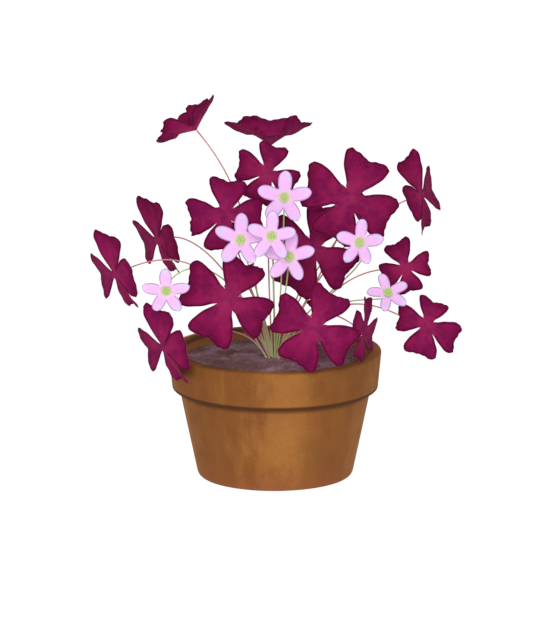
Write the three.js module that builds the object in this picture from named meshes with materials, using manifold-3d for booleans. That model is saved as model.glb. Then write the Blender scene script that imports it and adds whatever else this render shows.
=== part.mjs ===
// Potted purple shamrock, in millimetres, +Z up.
// The origin is the middle of the pot's foot, where the pot stands on a table.
// The side with the most blooms looks along -Y, and +X is on the right of that view.

import * as THREE from "three";
import { mergeVertices } from "three/addons/utils/BufferGeometryUtils.js";
import Module from "manifold-3d";

const wasm = await Module();
wasm.setup();

// Pot: a low clay pot with a deep collar.
const POT_HEIGHT = 91.3;
const RIM_RADIUS = 75.8;
const COLLAR_HEIGHT = 25.2;
const COLLAR_FOOT_RADIUS = 73.2;
const SHOULDER_RADIUS = 67.8;
const SHOULDER_DROP = 3;
const FOOT_RADIUS = 54.6;
const FOOT_ROUND = 4.6;
const RIM_ROUND = 2;
const MOUTH_RADIUS = 66.6;
const FLOOR_RADIUS = 47.5;
const FLOOR_THICKNESS = 7;
const DRAIN_RADIUS = 7;
const POT_SIDES = 40;

// Soil: fills the pot to just under the rim, a little higher in the middle.
const SOIL_LEVEL = 84.5;
const SOIL_CROWN = 86;
const SOIL_GAP = 0.4;
const CLOD_HEIGHT = 0.5;

// Leaflets: four to a leaf, folded along the midrib, with a notch between two corner lobes.
// A leaflet's skew makes one lobe that share longer and the other shorter.
const BLADE_THICKNESS = 0.7;
const BLADE_GAP = 0.3;
const HUB_RADIUS = 1.6;
const LEAFLET_HALF_WIDTH = 0.5;
const SIDE_CURVE = 1.05;
const NOTCH_DEPTH = 0.08;
const LOBE_PLACE = 0.76;
const CORNER_ROUND = 0.1;
const LEAFLET_SKEWS = [0.05, -0.06, 0.02, -0.04];
const FOLD = 8;
const ARCH = 0.06;
const LEAFLET_ROWS = [0, 0.34, 0.7, 1];
const LEAFLET_COLUMNS = [-1, -0.76, 0, 0.76, 1];

// Petals: five to a bloom, joined in a throat ring that the green neck passes through.
const PETAL_THICKNESS = 0.7;
const PETAL_HALF_WIDTH = 0.245;
const PETAL_WIDEST = 0.56;
const PETAL_TIP_REACH = 0.48;
const PETAL_BASE_REACH = 0.6;
const PETAL_ROUND = 2.2;
const PETAL_RISE = 0.1;
const PETAL_CUP = 0.12;
const PETAL_ROWS = [0, 0.32, 0.76, 1];
const PETAL_COLUMNS = [-1, -0.55, 0, 0.55, 1];
const THROAT_RADIUS = 3;
const THROAT_BORE = 1.4;
const THROAT_BACK = -1.1;
const THROAT_FRONT = 0.6;

// Green parts of a bloom, measured from the middle of its throat.
const NECK_RADIUS = 1;
const EYE_RADIUS = 3.4;
const EYE_WAIST = 0.7;
const EYE_BACK = 1.4;
const EYE_THICKNESS = 1;
const CALYX_RADIUS = 2.3;
const CALYX_LENGTH = 6;
const HEAD_SIDES = 10;

// Stalks: they stand in upright holes in the soil, in rings round the middle of the crown.
// lean is how far a stalk of that ring leans outwards for each millimetre that it rises at first.
const LEAF_STALK_RADIUS = 0.65;
const FLOWER_STALK_RADIUS = 0.75;
const STALK_SIDES = 5;
const STALK_STEPS = 9;
const STALK_GAP = 0.6;
const HOLE_GAP = 0.4;
const ROOT_DEPTH = 8;
const RINGS = {
  heart: { radius: 0, lean: 0.3 },
  inner: { radius: 2.6, lean: 0.25 },
  middle: { radius: 4.6, lean: 0.4 },
  outer: { radius: 6.8, lean: 0.55 },
};

// A leaf's row: its hub, then the compass turn and the height angle that its face looks at
// (0 is -Y, positive is towards +X), its size, which is the leaflets' length, how far they rise
// from flat (cup), the turn of each leaflet round the hub, and where its stalk is rooted: ring
// and angle. Where the leaflets aren't alike, cups, twists and lengths give each one's own rise,
// its turn about its own midrib, and its share of the size. skews takes the usual skews' place.
// rise and back say how far the stalk goes straight up first, and how far it follows the
// leaf's axis at its end, as shares of the straight distance.
const LEAVES = [
  {
    hub: [-56, 34, 243.5], face: [-90, 50], size: 27,
    turns: [68, 134, 213, 290], cups: [34, 38, 30, 40], twists: [-20, 20, 8, 40],
    lengths: [0.95, 0.8, 0.97, 1], root: ["middle", 146], rise: 0.3, back: 0.45,
  },
  {
    hub: [-3, 50.5, 228.8], face: [0, 89], size: 33,
    turns: [90, 191, 268, 344], cups: [25, 39, 34, 41], twists: [0, 34, 0, -26],
    lengths: [1, 1, 0.74, 0.97], root: ["inner", 90],
  },
  {
    hub: [-5, 12, 217.5], face: [0, 25], size: 22.5, cup: -5,
    turns: [77, 163, 247, 332], lengths: [0.96, 1.04, 1, 1], root: ["inner", 132],
  },
  {
    hub: [-35, -8, 191.5], face: [0, 25], size: 27, cup: -5,
    turns: [86, 183, 264, 358], root: ["inner", 190],
  },
  {
    hub: [53.5, 0, 202], face: [0, 30], size: 33.5, cup: -5,
    turns: [66, 160, 245, 329], lengths: [1.03, 1.05, 1, 1], root: ["middle", 12], back: 0.52,
  },
  {
    hub: [104.5, 38, 195.5], face: [64, 20], size: 29,
    turns: [94, 186, 278, 0], cups: [-4, 5, -16, -9], twists: [-9, 3, -7, 2],
    lengths: [1.03, 0.97, 0.93, 1.14], skews: [-0.08, 0, 0, 0], root: ["middle", 36],
  },
  {
    hub: [-114, 4, 145], face: [-64, -20], size: 30,
    turns: [90, 194, 283, 6], cups: [-8, 2, -6, -4], twists: [11, 7, 4, -9],
    lengths: [1.04, 1.13, 0.9, 0.96], root: ["outer", 180], rise: 0.5, back: 0.55,
  },
  {
    hub: [-84, 48, 159.6], face: [-64, -20], size: 30,
    turns: [90, 194, 283, 6], cups: [-8, 2, -6, -4], twists: [11, 7, 4, -9],
    lengths: [1.04, 1.13, 0.9, 0.96], root: ["middle", 168], rise: 0.42, back: 0.28,
  },
  {
    hub: [-32.5, -48, 139], face: [0, 30], size: 33, cup: -5,
    turns: [67, 155, 241, 329], lengths: [0.98, 1.06, 1.02, 0.94], root: ["outer", 234],
  },
  {
    hub: [-79.5, -44, 103.5], face: [-60, -20], size: 30,
    turns: [84, 196, 281, 4], cups: [-9, 2, -5, -6], twists: [14, 10, 6, -12],
    lengths: [1.01, 1.09, 0.97, 0.99], root: ["outer", 206],
  },
  {
    hub: [27.5, 5, 164.3], face: [0, 30], size: 32, cup: -5,
    turns: [68, 159, 240, 323], lengths: [1, 0.98, 1.1, 1], root: ["inner", 0],
  },
  {
    hub: [28, -68, 124], face: [0, 33], size: 31, cup: -5,
    turns: [64, 156, 242, 326], root: ["outer", 292],
  },
  {
    hub: [63.5, -42, 115.5], face: [67, -4], size: 22, cup: -2,
    turns: [80, 158, 248, 338], twists: [6, 0, 0, 0], lengths: [1.08, 1, 0.99, 1.12],
    root: ["outer", 326], rise: 0.9, back: 0.18,
  },
  {
    hub: [93, 10, 149], face: [10, 25], size: 18.5, cup: -5,
    turns: [8, 107, 200, 279], lengths: [1, 1.1, 1, 1], root: ["outer", 10], rise: 0.86, back: 0.28,
  },
  {
    hub: [108, -20, 114.5], face: [12, 38], size: 23.5, cup: -8,
    turns: [66, 158, 249, 328], lengths: [0.95, 0.95, 1.04, 1.05], root: ["outer", 348],
    rise: 0.85, back: 0.24,
  },
  {
    hub: [54, 64, 181], face: [165, 45], size: 26, cup: -5,
    turns: [45, 135, 225, 315], root: ["middle", 62],
  },
  {
    hub: [-37.5, 62, 172.5], face: [195, 45], size: 24, cup: -5,
    turns: [72, 162, 252, 342], root: ["middle", 122],
  },
  {
    hub: [-23, 66, 129], face: [205, 35], size: 14, cup: -5,
    turns: [82, 172, 262, 352], root: ["outer", 114],
  },
  {
    hub: [35, 66, 110.5], face: [160, 40], size: 13, cup: -5,
    turns: [62, 152, 242, 332], root: ["outer", 66],
  },
];
const LEAF_RISE = 0.45;
const LEAF_BACK = 0.28;

const FLOWERS = [
  {
    hub: [6.5, -22, 207], face: [0, 20], size: 19.6,
    turns: [12, 87, 163, 230, 300], root: ["heart", 0],
  },
  {
    hub: [-24.5, -38, 180], face: [0, 20], size: 19.6,
    turns: [13, 87, 157, 231, 300], root: ["inner", 232],
  },
  {
    hub: [-2.5, -52, 186], face: [0, 8], size: 18,
    turns: [12, 87, 158, 231, 302], root: ["inner", 268],
  },
  {
    hub: [10, -38, 167.5], face: [0, 25], size: 19,
    turns: [16, 82, 168, 229, 296], root: ["middle", 286],
  },
  {
    hub: [60, -32, 176.5], face: [-12, 25], size: 17.5,
    turns: [11, 87, 165, 238, 298], root: ["inner", 315], rise: 0.34, back: 0.7,
  },
  {
    hub: [-77, -59, 148], face: [-5, -10], size: 17.5,
    turns: [15, 91, 169, 240, 303], root: ["middle", 214], rise: 0.95, back: 0.3,
  },
  {
    hub: [80, -28, 139], face: [10, 38], size: 15.5,
    turns: [22, 104, 177, 252, 317], root: ["middle", 338], rise: 0.65,
  },
];
const FLOWER_RISE = 0.4;
const FLOWER_BACK = 0.16;

const TERRACOTTA = new THREE.MeshStandardMaterial({ color: "#a36b3a", roughness: 0.85, metalness: 0 });
const SOIL = new THREE.MeshStandardMaterial({ color: "#5f4544", roughness: 1, metalness: 0 });
const PURPLE_LEAF = new THREE.MeshStandardMaterial({ color: "#84194b", roughness: 0.55, metalness: 0 });
const PINK_STALK = new THREE.MeshStandardMaterial({ color: "#b8706c", roughness: 0.5, metalness: 0 });
const PINK_PETAL = new THREE.MeshStandardMaterial({ color: "#f2c2f3", roughness: 0.6, metalness: 0 });
const GREEN_STALK = new THREE.MeshStandardMaterial({ color: "#9aba64", roughness: 0.5, metalness: 0 });

const radians = THREE.MathUtils.degToRad;

function solidFrom(geometry) {
  const plain = geometry.index ? geometry.toNonIndexed() : geometry.clone();
  plain.deleteAttribute("normal");
  plain.deleteAttribute("uv");
  const merged = mergeVertices(plain, 1e-4);
  const mesh = new wasm.Mesh({
    numProp: 3,
    vertProperties: new Float32Array(merged.attributes.position.array),
    triVerts: new Uint32Array(merged.index.array),
  });
  return new wasm.Manifold(mesh);
}

function geometryFrom(solid) {
  const mesh = solid.getMesh();
  const geometry = new THREE.BufferGeometry();
  geometry.setAttribute("position", new THREE.BufferAttribute(new Float32Array(mesh.vertProperties), 3));
  geometry.setIndex(new THREE.BufferAttribute(new Uint32Array(mesh.triVerts), 1));
  geometry.computeVertexNormals();
  return geometry;
}

function fuse(geometries) {
  const solids = geometries.map(solidFrom);
  return geometryFrom(solids.reduce((whole, next) => whole.add(next)));
}

function namedMesh(name, geometry, material) {
  const mesh = new THREE.Mesh(geometry, material);
  mesh.name = name;
  return mesh;
}

// The angle from a blade's own turn to the middle of the gap before it and after it.
function gapsBeside(turns, k) {
  const before = turns[(k + turns.length - 1) % turns.length];
  const after = turns[(k + 1) % turns.length];
  const around = (angle) => ((angle % 360) + 360) % 360;
  return [radians(around(turns[k] - before) / 2), radians(around(after - turns[k]) / 2)];
}

// A closed body of blades that grow from one round hub, as leaflets and petals do.
// Every blade is a grid of rows from the hub outwards and columns from its right edge to its left.
// Row 0 is a part of the hub's circle, so that each blade shares a corner with the next one.
// point(along, across, side, k) gives the other rows of blade k on the face at side +1 or -1.
// They are kept off the middle of the gap to the next blade, so that no two blades cross.
// Both faces are split into the same triangles.
// A bore of 0 closes the hub, and a larger one leaves a round hole in it.
function rosette({ turns, rows, columns, radius, bore, faces, point }) {
  const order = [...turns].sort((a, b) => a - b);
  const positions = [];
  const index = [];
  const add = (x, y, z) => positions.push(x, y, z) / 3 - 1;
  const quad = (a, b, c, d) => index.push(a, b, c, a, c, d);
  order.forEach((turn, k) => {
    const [before, after] = gapsBeside(order, k);
    const start = radians(turn);
    const hubAngle = (across) => start + across * (across < 0 ? before : after);
    const grid = {};
    const inner = {};
    for (const side of [1, -1]) {
      grid[side] = rows.map((along, i) =>
        columns.map((across) => {
          if (i === 0) {
            const angle = hubAngle(across);
            return add(radius * Math.cos(angle), radius * Math.sin(angle), faces[side]);
          }
          const [x, wide, z] = point(along, across, side, k);
          const room = x * Math.tan(across < 0 ? before : after) - BLADE_GAP / 2;
          const y = Math.sign(wide) * Math.min(Math.abs(wide), room);
          return add(x * Math.cos(start) - y * Math.sin(start), x * Math.sin(start) + y * Math.cos(start), z);
        }),
      );
      inner[side] = columns.map((across) => {
        const angle = hubAngle(across);
        return add(bore * Math.cos(angle), bore * Math.sin(angle), faces[side]);
      });
    }
    const top = grid[1];
    const bottom = grid[-1];
    const last = columns.length - 1;
    for (let i = 0; i + 1 < rows.length; i += 1) {
      for (let j = 0; j < last; j += 1) {
        quad(top[i][j], top[i + 1][j], top[i + 1][j + 1], top[i][j + 1]);
        quad(bottom[i][j], bottom[i][j + 1], bottom[i + 1][j + 1], bottom[i + 1][j]);
      }
      quad(top[i][0], bottom[i][0], bottom[i + 1][0], top[i + 1][0]);
      quad(top[i + 1][last], bottom[i + 1][last], bottom[i][last], top[i][last]);
    }
    for (let j = 0; j < last; j += 1) {
      const end = rows.length - 1;
      quad(top[end][j], bottom[end][j], bottom[end][j + 1], top[end][j + 1]);
      if (bore > 0) {
        quad(inner[1][j], top[0][j], top[0][j + 1], inner[1][j + 1]);
        quad(inner[-1][j], inner[-1][j + 1], bottom[0][j + 1], bottom[0][j]);
        quad(inner[1][j], inner[1][j + 1], inner[-1][j + 1], inner[-1][j]);
      } else {
        index.push(inner[1][j], top[0][j], top[0][j + 1]);
        index.push(inner[-1][j], bottom[0][j + 1], bottom[0][j]);
      }
    }
  });
  const geometry = new THREE.BufferGeometry();
  geometry.setAttribute("position", new THREE.Float32BufferAttribute(positions, 3));
  geometry.setIndex(index);
  const closed = mergeVertices(geometry, 1e-4);
  closed.computeVertexNormals();
  return closed;
}

// A leaflet lies along +X from the hub. along runs from 0 at the hub to 1 at the far edge, and
// across from -1 to 1. The far edge has a notch at the midrib and a rounded lobe at each corner.
function leafBlade(leaf) {
  const fold = Math.tan(radians(FOLD));
  const order = [...leaf.turns.keys()].sort((a, b) => leaf.turns[a] - leaf.turns[b]);
  const leaflets = order.map((k) => ({
    size: leaf.size * (leaf.lengths?.[k] ?? 1),
    twist: radians(leaf.twists?.[k] ?? 0),
    lift: radians(leaf.cups?.[k] ?? leaf.cup),
    skew: (leaf.skews ?? LEAFLET_SKEWS)[k],
  }));
  const point = (along, across, side, k) => {
    const { size, twist, lift, skew } = leaflets[k];
    const out = Math.abs(across);
    const notch = NOTCH_DEPTH * Math.max(0, 1 - out / LOBE_PLACE) ** 1.4;
    const corner = CORNER_ROUND * Math.max(0, (out - LOBE_PLACE) / (1 - LOBE_PLACE)) ** 1.8;
    const x = size * along * (1 - notch - corner) * (1 + skew * across);
    const wide = size * across * LEAFLET_HALF_WIDTH * Math.sin((Math.PI / 2) * along ** SIDE_CURVE);
    const high = fold * Math.abs(wide) - ARCH * size * along ** 2 + (side * BLADE_THICKNESS) / 2;
    const y = wide * Math.cos(twist) - high * Math.sin(twist);
    const z = wide * Math.sin(twist) + high * Math.cos(twist);
    return [x * Math.cos(lift) - z * Math.sin(lift), y, x * Math.sin(lift) + z * Math.cos(lift)];
  };
  return rosette({
    turns: leaf.turns,
    rows: LEAFLET_ROWS,
    columns: LEAFLET_COLUMNS,
    radius: HUB_RADIUS,
    bore: 0,
    faces: { 1: BLADE_THICKNESS / 2, [-1]: -BLADE_THICKNESS / 2 },
    point,
  });
}

// A petal lies along +X: a rounded oval, widest past its middle, cupped across and rising outwards.
function corolla(flower) {
  const point = (along, across, side) => {
    const reach = along > PETAL_WIDEST ? PETAL_TIP_REACH : PETAL_BASE_REACH;
    const oval = Math.sqrt(Math.max(0.02, 1 - (Math.abs(along - PETAL_WIDEST) / reach) ** PETAL_ROUND));
    const length = flower.size - THROAT_RADIUS;
    const x = THROAT_RADIUS + length * (along - 0.06 * along * across ** 2);
    const y = flower.size * across * PETAL_HALF_WIDTH * oval;
    const z = PETAL_RISE * x + PETAL_CUP * Math.abs(y) + (side * PETAL_THICKNESS) / 2;
    return [x, y, z];
  };
  return rosette({
    turns: flower.turns,
    rows: PETAL_ROWS,
    columns: PETAL_COLUMNS,
    radius: THROAT_RADIUS,
    bore: THROAT_BORE,
    faces: { 1: THROAT_FRONT, [-1]: THROAT_BACK },
    point,
  });
}

// A body of revolution about Z from points of radius and height, listed anticlockwise.
function turned(outline, sides) {
  const points = outline.map(([radius, height]) => new THREE.Vector2(radius, height));
  return new THREE.LatheGeometry(points, sides).rotateX(Math.PI / 2);
}

// A group at a hub, turned so that its +Z looks the way that the leaf or bloom faces.
function facing(item) {
  const [compass, height] = item.face.map(radians);
  const group = new THREE.Group();
  group.position.set(...item.hub);
  group.rotation.set(Math.PI / 2 - height, 0, compass, "ZXY");
  group.updateMatrixWorld();
  return group;
}

function faceAxis(item) {
  return new THREE.Vector3(0, 0, 1).transformDirection(facing(item).matrixWorld);
}

// A thin rod along points: a ring of corners round each point, square to the way it goes there.
function rod(points, radius) {
  const end = points.length - 1;
  const side = new THREE.Vector3(1, 0, 0);
  const positions = [];
  const index = [];
  points.forEach((point, i) => {
    const along = points[Math.min(i + 1, end)].clone().sub(points[Math.max(i - 1, 0)]).normalize();
    side.addScaledVector(along, -side.dot(along)).normalize();
    for (let k = 0; k < STALK_SIDES; k += 1) {
      const corner = side.clone().applyAxisAngle(along, (2 * Math.PI * k) / STALK_SIDES);
      positions.push(...corner.multiplyScalar(radius).add(point).toArray());
    }
  });
  for (let i = 0; i < end; i += 1) {
    for (let k = 0; k < STALK_SIDES; k += 1) {
      const a = i * STALK_SIDES + k;
      const b = i * STALK_SIDES + ((k + 1) % STALK_SIDES);
      index.push(a, b, b + STALK_SIDES, a, b + STALK_SIDES, a + STALK_SIDES);
    }
  }
  const lastRing = end * STALK_SIDES;
  for (let k = 1; k + 1 < STALK_SIDES; k += 1) {
    index.push(0, k + 1, k);
    index.push(lastRing, lastRing + k, lastRing + k + 1);
  }
  const geometry = new THREE.BufferGeometry();
  geometry.setAttribute("position", new THREE.Float32BufferAttribute(positions, 3));
  geometry.setIndex(index);
  geometry.computeVertexNormals();
  return geometry;
}

// Where a stalk leaves the soil.
function rootOf(item) {
  const [ring, angle] = item.root;
  const { radius } = RINGS[ring];
  return new THREE.Vector3(radius * Math.cos(radians(angle)), radius * Math.sin(radians(angle)), SOIL_CROWN);
}

// A stalk: upright in its hole, then one smooth curve that leans outwards and meets the hub's back.
function stalk(item, radius, clearance, rise, back) {
  const top = rootOf(item);
  const axis = faceAxis(item);
  const end = new THREE.Vector3(...item.hub).addScaledVector(axis, -clearance);
  const span = end.distanceTo(top);
  const { lean } = RINGS[item.root[0]];
  const start = end.clone().sub(top).setZ(0).setLength(lean).setZ(1).normalize();
  const curve = new THREE.CubicBezierCurve3(
    top,
    top.clone().addScaledVector(start, span * rise),
    end.clone().addScaledVector(axis, -span * back),
    end,
  );
  const foot = top.clone().setZ(top.z - ROOT_DEPTH);
  return rod([foot, ...curve.getSpacedPoints(STALK_STEPS)], radius);
}

function rootHole(item, radius) {
  const top = rootOf(item);
  const foot = top.clone().setZ(top.z - ROOT_DEPTH - HOLE_GAP);
  const above = top.clone().setZ(top.z + ROOT_DEPTH);
  return rod([foot, above], radius + HOLE_GAP);
}

// The green parts of a bloom: stalk, cup behind the petals, neck, and the five-pointed eye.
function greenParts(flower) {
  const rise = flower.rise ?? FLOWER_RISE;
  const shaft = stalk(flower, FLOWER_STALK_RADIUS, CALYX_LENGTH, rise, flower.back ?? FLOWER_BACK);
  const calyxTop = THROAT_BACK - STALK_GAP;
  const outline = [
    [0, -CALYX_LENGTH - 0.6],
    [FLOWER_STALK_RADIUS * 1.2, -CALYX_LENGTH - 0.6],
    [CALYX_RADIUS, calyxTop - 1],
    [CALYX_RADIUS * 0.8, calyxTop],
    [NECK_RADIUS, calyxTop],
    [NECK_RADIUS, EYE_BACK],
    [EYE_RADIUS, EYE_BACK + EYE_THICKNESS * 0.4],
    [0, EYE_BACK + EYE_THICKNESS],
  ];
  const head = turned(outline, HEAD_SIDES);
  const place = head.attributes.position;
  const eyeEdge = outline.length - 2;
  for (let side = 1; side < HEAD_SIDES; side += 2) {
    const i = side * outline.length + eyeEdge;
    place.setXY(i, place.getX(i) * EYE_WAIST, place.getY(i) * EYE_WAIST);
  }
  head.applyMatrix4(facing(flower).matrixWorld);
  return fuse([shaft, head]);
}

function potProfile() {
  const collarFoot = POT_HEIGHT - COLLAR_HEIGHT;
  const line = new THREE.Path();
  line.moveTo(DRAIN_RADIUS, 0);
  line.lineTo(FOOT_RADIUS - FOOT_ROUND, 0);
  line.quadraticCurveTo(FOOT_RADIUS - 1, 0, FOOT_RADIUS + 0.6, FOOT_ROUND);
  line.lineTo(SHOULDER_RADIUS, collarFoot - SHOULDER_DROP);
  line.lineTo(COLLAR_FOOT_RADIUS - 1, collarFoot - SHOULDER_DROP + 1);
  line.lineTo(COLLAR_FOOT_RADIUS, collarFoot);
  line.lineTo(RIM_RADIUS, POT_HEIGHT - RIM_ROUND);
  line.quadraticCurveTo(RIM_RADIUS, POT_HEIGHT, RIM_RADIUS - RIM_ROUND, POT_HEIGHT);
  line.lineTo(MOUTH_RADIUS + 1, POT_HEIGHT);
  line.lineTo(MOUTH_RADIUS, POT_HEIGHT - 1);
  line.lineTo(FLOOR_RADIUS, FLOOR_THICKNESS);
  line.lineTo(DRAIN_RADIUS, FLOOR_THICKNESS);
  line.lineTo(DRAIN_RADIUS, 0);
  return line.getPoints(2).map((point) => [point.x, point.y]);
}

function pot() {
  return turned(potProfile(), POT_SIDES);
}

function soil() {
  const wallSlope = (MOUTH_RADIUS - FLOOR_RADIUS) / (POT_HEIGHT - 1 - FLOOR_THICKNESS);
  const innerRadius = (height) => FLOOR_RADIUS + wallSlope * (height - FLOOR_THICKNESS) - SOIL_GAP;
  const bottom = FLOOR_THICKNESS + SOIL_GAP;
  const body = turned(
    [
      [0, bottom],
      [innerRadius(bottom) - 1, bottom],
      [innerRadius(SOIL_LEVEL) - 0.2, SOIL_LEVEL],
      [innerRadius(SOIL_LEVEL) * 0.72, (SOIL_LEVEL + SOIL_CROWN) / 2],
      [innerRadius(SOIL_LEVEL) * 0.4, SOIL_CROWN],
      [0, SOIL_CROWN],
    ],
    POT_SIDES,
  );
  const place = body.attributes.position;
  for (let i = 0; i < place.count; i += 1) {
    const radius = Math.hypot(place.getX(i), place.getY(i));
    if (place.getZ(i) > SOIL_LEVEL + 0.1 && radius > 1) {
      const angle = Math.atan2(place.getY(i), place.getX(i));
      place.setZ(i, place.getZ(i) + CLOD_HEIGHT * Math.sin(7 * angle + radius));
    }
  }
  let solid = solidFrom(body);
  for (const leaf of LEAVES) {
    solid = solid.subtract(solidFrom(rootHole(leaf, LEAF_STALK_RADIUS)));
  }
  for (const flower of FLOWERS) {
    solid = solid.subtract(solidFrom(rootHole(flower, FLOWER_STALK_RADIUS)));
  }
  return geometryFrom(solid);
}

const group = new THREE.Group();
group.add(namedMesh("pot", pot(), TERRACOTTA));
group.add(namedMesh("soil", soil(), SOIL));

LEAVES.forEach((leaf, i) => {
  const number = String(i + 1).padStart(2, "0");
  const holder = facing(leaf);
  holder.add(namedMesh(`leaf_blade_${number}`, leafBlade(leaf), PURPLE_LEAF));
  group.add(holder);
  const clearance = BLADE_THICKNESS / 2 + STALK_GAP;
  const shaft = stalk(leaf, LEAF_STALK_RADIUS, clearance, leaf.rise ?? LEAF_RISE, leaf.back ?? LEAF_BACK);
  group.add(namedMesh(`leaf_stalk_${number}`, shaft, PINK_STALK));
});

FLOWERS.forEach((flower, i) => {
  const number = i + 1;
  const holder = facing(flower);
  holder.add(namedMesh(`flower_petals_${number}`, corolla(flower), PINK_PETAL));
  group.add(holder);
  group.add(namedMesh(`flower_stalk_${number}`, greenParts(flower), GREEN_STALK));
});

export default group;
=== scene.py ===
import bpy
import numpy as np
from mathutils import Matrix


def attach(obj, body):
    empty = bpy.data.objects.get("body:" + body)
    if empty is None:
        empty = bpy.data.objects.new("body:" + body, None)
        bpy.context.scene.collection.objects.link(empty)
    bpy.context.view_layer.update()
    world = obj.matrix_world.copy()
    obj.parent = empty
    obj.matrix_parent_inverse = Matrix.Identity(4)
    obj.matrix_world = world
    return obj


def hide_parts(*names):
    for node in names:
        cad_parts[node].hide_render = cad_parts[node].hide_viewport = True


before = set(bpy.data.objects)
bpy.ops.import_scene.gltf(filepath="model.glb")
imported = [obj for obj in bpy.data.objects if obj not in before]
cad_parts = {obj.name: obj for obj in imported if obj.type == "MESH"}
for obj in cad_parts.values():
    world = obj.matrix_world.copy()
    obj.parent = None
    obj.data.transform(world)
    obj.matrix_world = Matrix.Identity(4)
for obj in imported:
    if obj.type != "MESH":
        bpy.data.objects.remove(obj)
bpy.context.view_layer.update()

# Potted purple shamrock: the fine leaves, blooms, stalks, soil and pot that stand on the frame.
# Sizes are in millimetres in the tables and become metres where a mesh is made.

MM = 0.001

# The photograph's frame, where the pot's axis and foot are in it, and where it was taken from: a
# height in degrees, and a distance in metres.
PHOTO_WIDTH = 537
PHOTO_HEIGHT = 632
MM_PER_PIXEL = 0.711
AXIS_PIXEL = 275.1
FOOT_PIXEL = 474.3
CAMERA_HEIGHT_ANGLE = 13.3
CAMERA_DISTANCE = 12.0
SENSOR = 36.0

# Pot, as in the frame. Its wall wanders from round by two and by three slow waves to the turn.
POT_HEIGHT = 91.3
RIM_RADIUS = 75.8
COLLAR_HEIGHT = 25.2
COLLAR_FOOT_RADIUS = 73.2
SHOULDER_RADIUS = 67.8
SHOULDER_DROP = 3.0
FOOT_RADIUS = 54.6
FOOT_ROUND = 4.6
RIM_ROUND = 2.0
MOUTH_RADIUS = 66.6
FLOOR_RADIUS = 47.5
FLOOR_THICKNESS = 7.0
DRAIN_RADIUS = 7.0
POT_SIDES = 160
POT_WANDER = (0.18, 0.12)
POT_CORNER_STEPS = 7
POT_ROW_STEP = 4

# Soil, as in the frame: a crown that falls away between two radii, its clods calmer near the stalks.
SOIL_LEVEL = 84.5
SOIL_CROWN = 86.0
SOIL_GAP = 0.4
SOIL_FOOT_ROUND = 1.2
SOIL_CAP = 6.0
SOIL_SIDES = 220
SOIL_RINGS = 78
CROWN_REACH = (24.0, 62.0)
CALM_REACH = 14.0
CRUMB_COUNT = 700
CRUMB_RADIUS = (0.5, 1.5)
CRUMB_ROUGHNESS = 0.22
CRUMB_SHAPES = ((0.8, 0.6, 0.45), (1.4, 1.0, 0.8))
CRUMB_REACH = (0.03, 1.0)
CRUMB_EDGE = 0.97

# The soil's roughness: how wide its clods and crumbs are, how high, and the seed of each.
CLODS = ((9.0, 1.6, 1), (3.1, 1.1, 2), (1.3, 0.7, 3))

# Leaflets, as in the frame: a skew makes one lobe that share longer and the other shorter. Lengths
# are shares of the leaflet's, apart from the gap between two blades.
BLADE_GAP = 0.3
LEAFLET_HALF_WIDTH = 0.5
SIDE_CURVE = 1.05
NOTCH_DEPTH = 0.08
LOBE_PLACE = 0.76
CORNER_ROUND = 0.1
LEAFLET_SKEWS = (0.05, -0.06, 0.02, -0.04)
FOLD = 8.0
ARCH = 0.06

# Leaflets, finer than the frame: true thickness, rib, ragged edge, and the web that joins them.
BLADE_THICKNESS = 0.45
EDGE_THICKNESS = 0.18
EDGE_WOBBLE = 0.008
SIDE_WAVE = 0.016
EDGE_WAVE = 0.01
MIDRIB_HEIGHT = 0.3
MIDRIB_WIDTH = 0.035
WEB = 0.2
WEB_FADE = 0.12
WEB_RIM = 8.0
LEAF_VEIN_STEP = 1 / 9

# Leaf blades differ a little in tone, and those below BRIGHT_BELOW are a brighter magenta.
TONE_SPREAD = 0.4
BRIGHT_BELOW = 130.0
BRIGHT_FALL = 90.0
LEAFLET_ROWS = np.concatenate([np.linspace(0.04, 0.95, 32), [0.975, 0.99, 1.0]])
LEAFLET_COLUMNS = np.concatenate([[-1, -0.985], np.linspace(-0.95, 0.95, 29), [0.985, 1]])

# Petals, and the green parts of a bloom: the fluted eye, the cup behind the petals with its sepals,
# and the stamens. Outlines are radii and heights along the way that the bloom looks.
PETAL_HALF_WIDTH = 0.245
PETAL_WIDEST = 0.56
PETAL_BASE_REACH = 0.6
PETAL_RISE = 0.1
PETAL_CUP = 0.12
PETAL_THICKNESS = 0.3
PETAL_CURL = 0.9
PETAL_CURL_PLACE = 0.72
PETAL_WAVE = 0.35
PETAL_START = 0.55
PETAL_LENGTHS = (0.98, 1.02)
PETAL_WIDTHS = (0.99, 1.07)
PETAL_VEIN_STEP = 1 / 9
PETAL_RAY_STEP = 1 / 7
PETAL_ROWS = 28
PETAL_COLUMNS = 21
THROAT_RADIUS = 3.0
THROAT_DEPTH = 1.3
THROAT_RIM = 3.0
THROAT_OUTLINE = [(1.3, -1.1), (1.9, -1.25), (2.4, -0.7), (2.9, 0.1), (3.1, 0.55), (2.6, 0.5),
                  (2.0, -0.2), (1.3, -0.6), (1.3, -1.1)]
THROAT_SIDES = 30
EYE_RADIUS = 3.1
EYE_BACK = 1.4
EYE_DOME = 0.9
EYE_FLUTES = 25
EYE_FLUTING = (0.07, 0.08)
EYE_STAR = 0.03
EYE_ROWS = 14
EYE_SIDES = 100
CALYX_RADIUS = 2.3
CALYX_LENGTH = 6.0
CUP_OUTLINE = [(0.55, -6.6), (0.8, -6.3), (1.5, -5.2), (2.0, -3.8), (2.1, -2.6), (1.8, -1.9),
               (0.95, -1.6), (0.9, 1.5)]
CUP_SIDES = 24
SEPAL_RADIUS = 2.05
SEPAL_HALF_WIDTH = 1.15
SEPAL_THICKNESS = 0.28
SEPAL_FLARE = 0.55
SEPAL_PLACE = (-4.4, -0.8)
SEPAL_ROWS = 12
SEPAL_COLUMNS = 7
STAMEN_COUNT = 10
STAMEN_REACH = (1.9, 1.1)
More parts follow.
